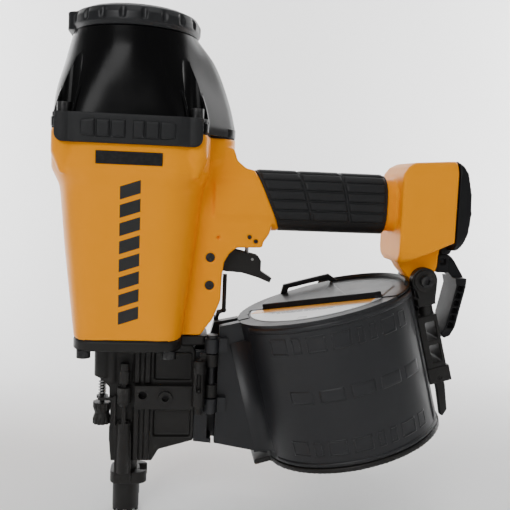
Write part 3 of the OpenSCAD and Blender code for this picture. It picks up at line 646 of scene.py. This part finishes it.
def build_deflector():
    """The exhaust deflector, with its row of small notches round the rim."""
    lo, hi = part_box("exhaust_deflector")
    notches, notch_r, foot_r, tip_r = 20, 2.5 * MM, 49.2 * MM, 47.8 * MM
    cutters = []
    for i in range(notches):
        angle = 2 * math.pi * (i + 0.5) / notches
        c, s = math.cos(angle), math.sin(angle)
        foot = Vector((foot_r * c, foot_r * s, lo.z + 4.5 * MM))
        tip = Vector((tip_r * c, tip_r * s, hi.z - 4 * MM))
        cutters.append(cylinder_mesh(foot, tip, notch_r, count=20))
    cast("exhaust_deflector", 0.65 * MM, 5, 0.5, minus=join(cutters, "notches"))


# ---------- rubber ----------

def build_guards():
    """The guards with their two groups of raised pads."""
    groups = ((-34.2, -23.2, -13.2, -2.4), (1.8, 10.4, 20.6, 32.4))   # edges along x, in mm
    z_mid, half_h, joint = SEAM_Z + 0.7 * MM, 6.3 * MM, 0.3
    pads = []
    for side in (-1, 1):
        for edges in groups:
            tip = max(edges, key=abs)

            def surface(u, v, side=side, tip=tip):
                # the outer 9 mm of each group narrows towards its tip
                inset = min(abs(u / MM - tip) / 9, 1)
                v = z_mid + (v - z_mid) * (0.66 + 0.34 * math.sqrt(max(1 - (1 - inset) ** 2, 0)))
                # a few rounds find the outline's point at this x
                angle = math.atan2(side * HEAD_HALF_W, u)
                for _ in range(4):
                    reach = head_radius(angle, 3.4 * MM)
                    angle = math.atan2(side * reach * abs(math.sin(angle)), u)
                return Vector((u, side * reach * abs(math.sin(angle)), v)), Vector((0, side, 0))

            for x0, x1 in zip(edges, edges[1:]):
                pads.append(plate_on(surface, ((x0 + joint) * MM, (x1 - joint) * MM),
                                     (z_mid - half_h, z_mid + half_h), 1.1 * MM, "pad", (12, 12),
                                     root=0.6 * MM))
    cast("side_guards", 0.7 * MM, 3, 0.5)
    new_object("guard_pads", join(pads, "guard_pads"), "black_rubber")


def grip_surface(s, side):
    """A point on the grip's section: s is the distance down from the top's middle."""
    a, b, r = GRIP_W / 2, GRIP_H / 2, GRIP_R
    top, arc, wall = a - r, math.pi / 2 * r, 2 * (b - r)
    if s < top:
        y, z, ny, nz = s, b, 0.0, 1.0
    elif s < top + arc:
        t = (s - top) / r
        y, z, ny, nz = a - r + r * math.sin(t), b - r + r * math.cos(t), math.sin(t), math.cos(t)
    elif s < top + arc + wall:
        y, z, ny, nz = a, b - r - (s - top - arc), 1.0, 0.0
    else:
        t = min((s - top - arc - wall) / r, math.pi / 2)
        y, z, ny, nz = a - r + r * math.cos(t), -(b - r) - r * math.sin(t), math.cos(t), -math.sin(t)
    return Vector((0, side * y, GRIP_Z + z)), Vector((0, side * ny, nz))


def build_grip():
    """The grip with three columns of raised pads that follow its slanted front."""
    # where each joint between columns is at the top, and how far it leans rearwards, in mm
    joints = ((94.6, 20.0), (127.1, 13.6), (160.3, 9.3), (195.6, 0.0))
    # distances down the section, in mm
    rows = ((4.4, 11.6), (12.3, 19.4), (20.1, 27.2), (27.9, 34.8), (35.5, 42.4), (43.1, 50.6))
    half_joint = 0.7
    top = GRIP_Z + GRIP_H / 2
    pads = []
    for side in (-1, 1):
        for (a0, a1), (b0, b1) in zip(joints, joints[1:]):
            def surface(u, v, side=side, a0=a0, a1=a1, b0=b0, b1=b1):
                point, normal = grip_surface(v, side)
                drop = (top - point.z) / GRIP_H
                left, right = (a0 + a1 * drop + half_joint) * MM, (b0 + b1 * drop - half_joint) * MM
                point.x = left + (right - left) * u
                return point, normal

            for s0, s1 in rows:
                pads.append(plate_on(surface, (0, 1), (s0 * MM, s1 * MM), 1.0 * MM, "pad", (26, 8),
                                     root=0.6 * MM))
    new_object("grip_pads", join(pads, "grip_pads"), "black_rubber")
    cast("grip_sleeve", 0.9 * MM, 2, 0.6)


# ---------- canister ----------

def can_point(x, y, z):
    return CAN_BASE + CAN_X * x + Vector((0, y, 0)) + CAN_AXIS * z


def drum_surface(angle, z):
    out = CAN_X * math.cos(angle) + Vector((0, math.sin(angle), 0))
    return can_point(CAN_R * math.cos(angle), CAN_R * math.sin(angle), z), out


def drum_pad(angles, heights, rise, name, steps):
    """A raised pad on the drum, with its angles in degrees and the rest in mm."""
    u_range = tuple(math.radians(a) for a in angles)
    v_range = tuple(h * MM for h in heights)
    return plate_on(drum_surface, u_range, v_range, rise * MM, name, steps)


def frame_pads(a0, a1, z0, z1):
    """The four sides of a raised rectangular outline on the drum, in degrees and mm."""
    bar, rise = 1.5, 0.28
    span = math.degrees(bar * MM / CAN_R)
    upright = (z0 + bar / 2, z1 - bar / 2)
    sides = (((a0, a1), (z0, z0 + bar)), ((a0, a1), (z1 - bar, z1)),
             ((a0, a0 + span), upright), ((a1 - span, a1), upright))
    return [drum_pad(angles, heights, rise, "frame", (10, 4)) for angles, heights in sides]


def build_drum():
    """Raised frames, bars and rims on the door's wall, and the fillet into the neck."""
    parts = []
    for z0, z1 in ((88, 101), (9, 21)):
        a = -139
        for width in (12, 6, 12, 12, 5, 5, 12, 8):
            parts += frame_pads(a, a + width, z0, z1)
            a += width + 3.2
    # plain raised bars round the middle
    for a in range(-132, -55, 19):
        parts.append(drum_pad((a, a + 15), (50, 60), 0.25, "bar", (14, 8)))
    # rims at the top and the bottom
    for heights in ((104.5, 108.9), (0.6, 4.0)):
        parts.append(drum_pad((-158, -24), heights, 1.0, "rim", (72, 5)))
    # upright strip beside the rear edge
    parts.append(drum_pad((-33, -28), (5, 104), 1.1, "strip", (5, 30)))
    new_object("drum_ribs", join(parts, "drum_ribs"), "dark_plastic", "door")
    new_object("neck_fillet", neck_fillet(), "dark_plastic", "door")


def neck_fillet():
    """The concave corner between the neck's side and the drum, in the canister's plan."""
    radius, wall_y = 17 * MM, -NECK_HALF
    cy = wall_y - radius
    cx = -math.sqrt((CAN_R + radius) ** 2 - cy**2)
    outline = []
    a0, a1 = math.pi / 2, math.atan2(-cy, -cx)
    for k in range(17):
        t = a0 + (a1 - a0) * k / 16
        outline.append((cx + radius * math.cos(t), cy + radius * math.sin(t)))
    # its back lies inside the drum's wall and the neck's side
    inside_r, inside_y = CAN_R - 2 * MM, wall_y + 1.5 * MM
    outline += [(-inside_r * 0.9, wall_y * 1.9), (-inside_r * 0.97, inside_y), (cx, inside_y)]
    rings = [[can_point(x, y, z * MM) for x, y in outline] for z in (6, 7, 97)]
    return loft(rings, "neck_fillet")


def build_top_plate():
    """The fixed top plate, with its sunk rear end and the rim round that end."""
    floor, above = CAN_H + 2.6 * MM, CAN_H + 30 * MM
    plan = ((15, -25.2), (80, -71.6), (80, 70), (19, 70))
    sunk_end = loft([[can_point(x * MM, y * MM, z) for x, y in plan] for z in (floor, above)], "sunk_end")
    cast("canister_top_plate", 0.8 * MM, 3, 0.5, minus=sunk_end)

    def surface(angle, radius):
        return can_point(radius * math.cos(angle), radius * math.sin(angle), CAN_H + 1.9 * MM), CAN_AXIS

    rim = plate_on(surface, (math.radians(-22), math.radians(82)), (66.2 * MM, 69.4 * MM), 3.4 * MM,
                   "end_rim", (60, 5))
    new_object("end_rim", rim, "grey_plastic", "frame")


def build_label():
    """The label's coloured band along the top plate's lip, and three rows of plain dashes."""
    along = Vector((math.cos(LIP_TURN), math.sin(LIP_TURN)))
    inward = Vector((math.sin(LIP_TURN), -math.cos(LIP_TURN)))
    door_drop, lid_t, label_t = 0.8 * MM, 2.24 * MM, 0.4 * MM
    top = CAN_H - door_drop + lid_t + label_t

    def surface(u, v):
        p = along * u + inward * v
        return can_point(p.x, p.y, top), CAN_AXIS

    def print_on(u0, u1, v0, v1, rise, name, steps):
        """A flat print, placed in mm from the label's edge."""
        edge = LIP_V + 1.3
        return plate_on(surface, (u0 * MM, u1 * MM), ((edge + v0) * MM, (edge + v1) * MM), rise * MM,
                        name, steps, rounded=False, root=0.1 * MM)

    band = print_on(-52, 52, 0, 10.5, 0.12, "label_band", (20, 4))
    new_object("label_band", band, "label", "door", material="label_yellow", smooth=False)
    dashes = []
    for row, (first, last) in enumerate(((-34, 30), (-30, 24), (-24, 16))):
        u, v = first, 12.4 + 2.3 * row
        while u < last:
            length = 3.2 + 2.3 * ((u * 7 + row * 3) % 3)
            dashes.append(print_on(u, u + length, v, v + 0.8, 0.1, "dash", (3, 2)))
            u += length + 1.1
    new_object("label_marks", join(dashes, "label_marks"), "label", "door", material="label_grey",
               smooth=False)


# ---------- small castings ----------

# node, voxel in mm, smoothing rounds and share of the faces kept
CASTINGS = (
    ("end_cap", 0.9, 4, 0.6),
    ("rafter_hook", 0.55, 3, 0.6),
    ("hook_bracket", 0.6, 3, 0.6),
    ("trigger", 0.5, 3, 0.6),
    ("contact_foot", 0.5, 2, 0.6),
    ("nose_body", 0.9, 3, 0.5),
    ("support_bracket", 0.6, 3, 0.6),
    ("latch_lever", 0.45, 3, 0.6),
    ("latch_keeper", 0.5, 3, 0.6),
    ("canister_base", 0.9, 3, 0.5),
    ("plunger_tube", 0.45, 2, 0.6),
    ("top_plate_handle", 0.5, 4, 0.6),
)


# ---------- stage ----------

# name, place, aim, size and power
LIGHTS = (
    ("key", (-0.55, -1.25, 0.95), (0.05, 0, 0.2), 0.7, 10.5),
    ("fill", (1.1, -1.1, 0.6), (0.12, 0, 0.2), 0.8, 1.5),
    ("top", (0.1, -0.1, 1.35), (0.1, 0, 0.2), 0.9, 2.5),
    ("rim", (0.9, 0.55, 0.75), (0.1, 0, 0.25), 0.5, 3),
    ("back_left", (-0.85, 0.35, 0.6), (-0.7, 1.1, 0.5), 0.8, 24),
    ("back_right", (1.2, 0.35, 0.6), (1.05, 1.1, 0.5), 0.8, 24),
)


def build_sweep():
    """A pale floor that sweeps up behind the tool."""
    half, front, back, rise, radius, floor_z = 4.0, -3.0, 1.1, 2.6, 0.7, -0.0012
    profile = [(front, 0.0)]
    for k in range(17):
        t = math.pi / 2 * k / 16
        profile.append((back - radius + radius * math.sin(t), radius - radius * math.cos(t)))
    profile.append((back, rise))
    points = [(x, y, z + floor_z) for y, z in profile for x in (-half, half)]
    faces = [(2 * i, 2 * i + 1, 2 * i + 3, 2 * i + 2) for i in range(len(profile) - 1)]
    mesh = bpy.data.meshes.new("sweep")
    mesh.from_pydata(points, [], faces)
    for polygon in mesh.polygons:
        polygon.use_smooth = True
    sweep = bpy.data.objects.new("sweep", mesh)
    bpy.context.scene.collection.objects.link(sweep)
    n = Nodes("pale_floor")
    n.fill(n.bsdf, {"Base Color": (0.93, 0.93, 0.93, 1), "Roughness": 0.85})
    mesh.materials.append(n.mat)


def build_lights():
    """Soft light on the tool, two lamps on the backdrop, and a dim white world."""
    world = bpy.data.worlds.new("soft_world")
    world.use_nodes = True
    background = world.node_tree.nodes["Background"]
    background.inputs["Color"].default_value = (1, 1, 1, 1)
    background.inputs["Strength"].default_value = 0.3
    bpy.context.scene.world = world
    for name, place, aim, size, power in LIGHTS:
        light = bpy.data.lights.new(name, "AREA")
        light.size = size
        light.energy = power
        obj = bpy.data.objects.new(name, light)
        obj.location = place
        obj.rotation_euler = (Vector(aim) - Vector(place)).to_track_quat("-Z", "Y").to_euler()
        bpy.context.scene.collection.objects.link(obj)


def build_camera():
    """A 50 mm lens in front of the door's side, a little above, turned and rolled slightly."""
    place = (0.033, -0.5575, 0.262)
    yaw, pitch, roll = math.radians(6.526), math.radians(5.513), math.radians(2.373)
    forward = Vector((math.sin(yaw) * math.cos(pitch), math.cos(yaw) * math.cos(pitch), -math.sin(pitch)))
    right = Vector((math.cos(yaw), -math.sin(yaw), 0))
    up = right.cross(forward)
    side = right * math.cos(roll) + up * math.sin(roll)
    above = up * math.cos(roll) - right * math.sin(roll)
    camera = bpy.data.cameras.new("camera")
    camera.lens = 50
    camera.sensor_width = 36
    camera.clip_start = 0.01
    obj = bpy.data.objects.new("camera", camera)
    bpy.context.scene.collection.objects.link(obj)
    turn = Matrix((side, above, -forward)).transposed().to_4x4()
    obj.matrix_world = Matrix.Translation(place) @ turn
    bpy.context.scene.camera = obj


housing_look = build_housing()
bpy.context.view_layer.update()
build_graphic(housing_look)
build_cap()
build_deflector()
build_guards()
build_grip()
build_drum()
build_top_plate()
build_label()
for cast_name, voxel_mm, rounds, share in CASTINGS:
    cast(cast_name, voxel_mm * MM, rounds, share)
build_sweep()
build_lights()
build_camera()
